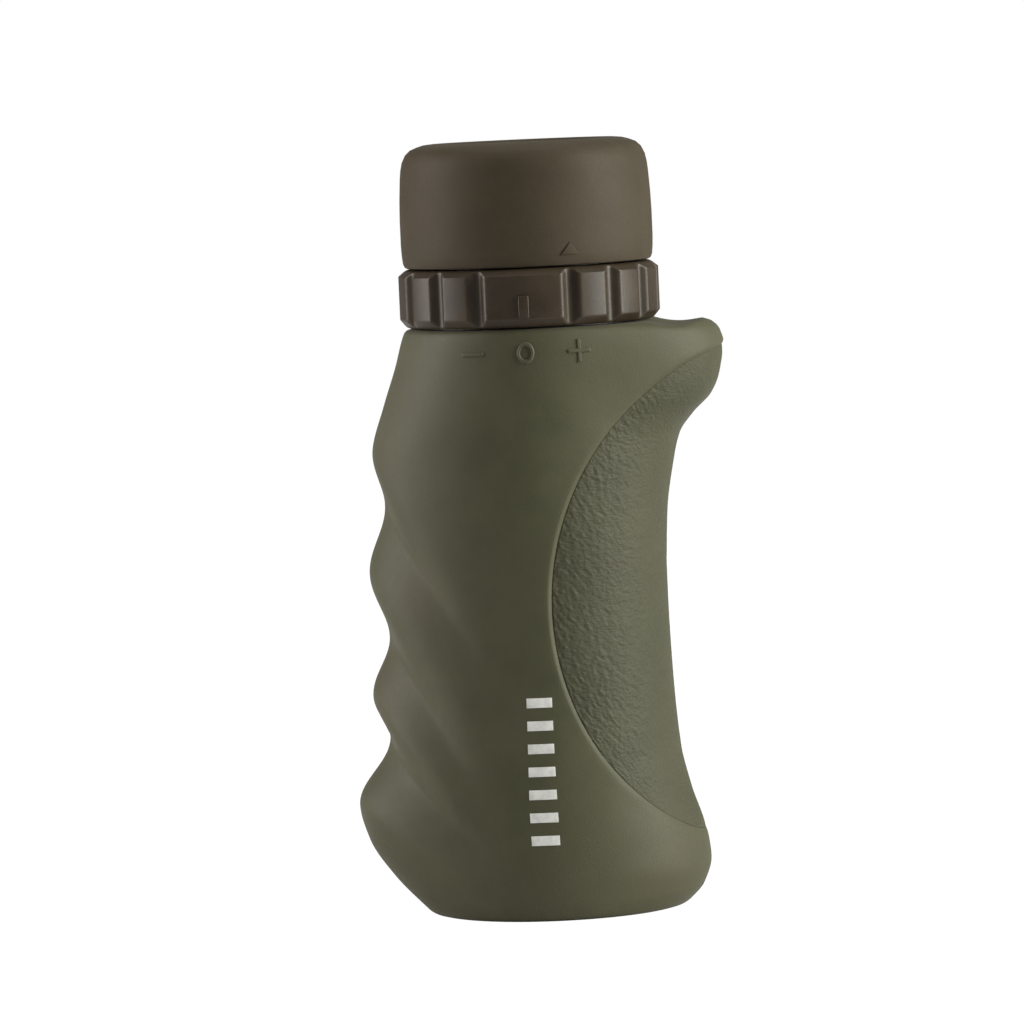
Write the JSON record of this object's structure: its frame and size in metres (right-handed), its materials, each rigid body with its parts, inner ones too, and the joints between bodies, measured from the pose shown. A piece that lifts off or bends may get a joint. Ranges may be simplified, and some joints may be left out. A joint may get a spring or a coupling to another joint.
{
  "type": "monocular",
  "caption": "Hand-grip roof-prism monocular with a rubber armour, finger grooves, palm pad, turning focus ring and twist-up eyecup.",
  "frame": {"origin": "centre of the objective mouth, on the plane of the foot the monocular stands on", "axes": "+Z along the optical axis from the objective to the eyepiece, -Y towards the face with the focus scale, -X towards the finger grooves, +X towards the palm pad"},
  "size_m": [0.0602, 0.0416, 0.1207],
  "materials": {
    "armour_rubber": "fine matt olive-grey rubber",
    "pad_rubber": "wrinkled leather-like rubber",
    "ring_rubber": "satin dark brown",
    "eyecup_rubber": "matt brown-grey rubber",
    "seal_rubber": "black",
    "chassis_metal": "cast and blasted",
    "black_metal": "black anodised",
    "black_plastic": "matt black",
    "slip_plastic": "off-white slip plastic",
    "steel": "plain",
    "coated_glass": "anti-reflection coated",
    "prism_glass": "polished"
  },
  "bodies": {
    "body": {"armour_grip": "armour_rubber", "palm_pad": "pad_rubber", "chassis": "chassis_metal", "top_cap": "chassis_metal", "body_seal": "seal_rubber", "objective_cell": "black_metal", "objective_o_ring": "seal_rubber", "objective_crown": "coated_glass", "objective_flint": "coated_glass", "objective_retainer": "black_metal", "objective_baffle": "black_plastic", "half_penta_prism": "prism_glass", "roof_prism": "prism_glass", "prism_cage": "chassis_metal", "cage_screws": "steel", "prism_clip": "steel", "eyepiece_bridge": "chassis_metal", "bridge_screws": "steel", "eyepiece_tube": "black_metal", "field_stop": "black_metal", "field_lens": "coated_glass", "lens_spacer_lower": "black_metal", "eyepiece_flint": "coated_glass", "eyepiece_crown": "coated_glass", "lens_spacer_upper": "black_metal", "eye_lens": "coated_glass", "eye_lens_retainer": "black_metal", "eyecup_guide": "black_plastic", "ring_washer_lower": "slip_plastic", "ring_washer_upper": "slip_plastic"},
    "focus_ring": {"focus_ring": "ring_rubber", "focus_cam_sleeve": "black_metal"},
    "focus_cell": {"focus_lens_cell": "black_metal", "focus_lens": "coated_glass", "focus_lens_retainer": "black_metal", "focus_pins": "steel"},
    "eyecup_turn": {"eyecup_click_ring": "slip_plastic"},
    "eyecup": {"eyecup_sleeve": "black_plastic", "eyecup_pins": "steel", "eyecup_rubber": "eyecup_rubber"}
  },
  "joints": [
    {"name": "focus_turn", "type": "hinge", "parent": "body", "child": "focus_ring", "pos_m": [0, 0, 0.0967], "axis": [0, 0, 1], "range_deg": [-30, 30]},
    {"name": "focus_slide", "type": "slide", "parent": "body", "child": "focus_cell", "axis": [0, 0, 1], "range_m": [-0.00189, 0.00189]},
    {"name": "eyecup_twist", "type": "hinge", "parent": "body", "child": "eyecup_turn", "pos_m": [0, 0, 0.107], "axis": [0, 0, 1], "range_deg": [0, 90]},
    {"name": "eyecup_lift", "type": "slide", "parent": "eyecup_turn", "child": "eyecup", "axis": [0, 0, 1], "range_m": [0, 0.00707]}
  ],
  "couplings": [
    {"joint": "focus_slide", "follows": "focus_turn", "m_per_rad": 0.0036},
    {"joint": "eyecup_lift", "follows": "eyecup_twist", "m_per_rad": 0.0045}
  ]
}
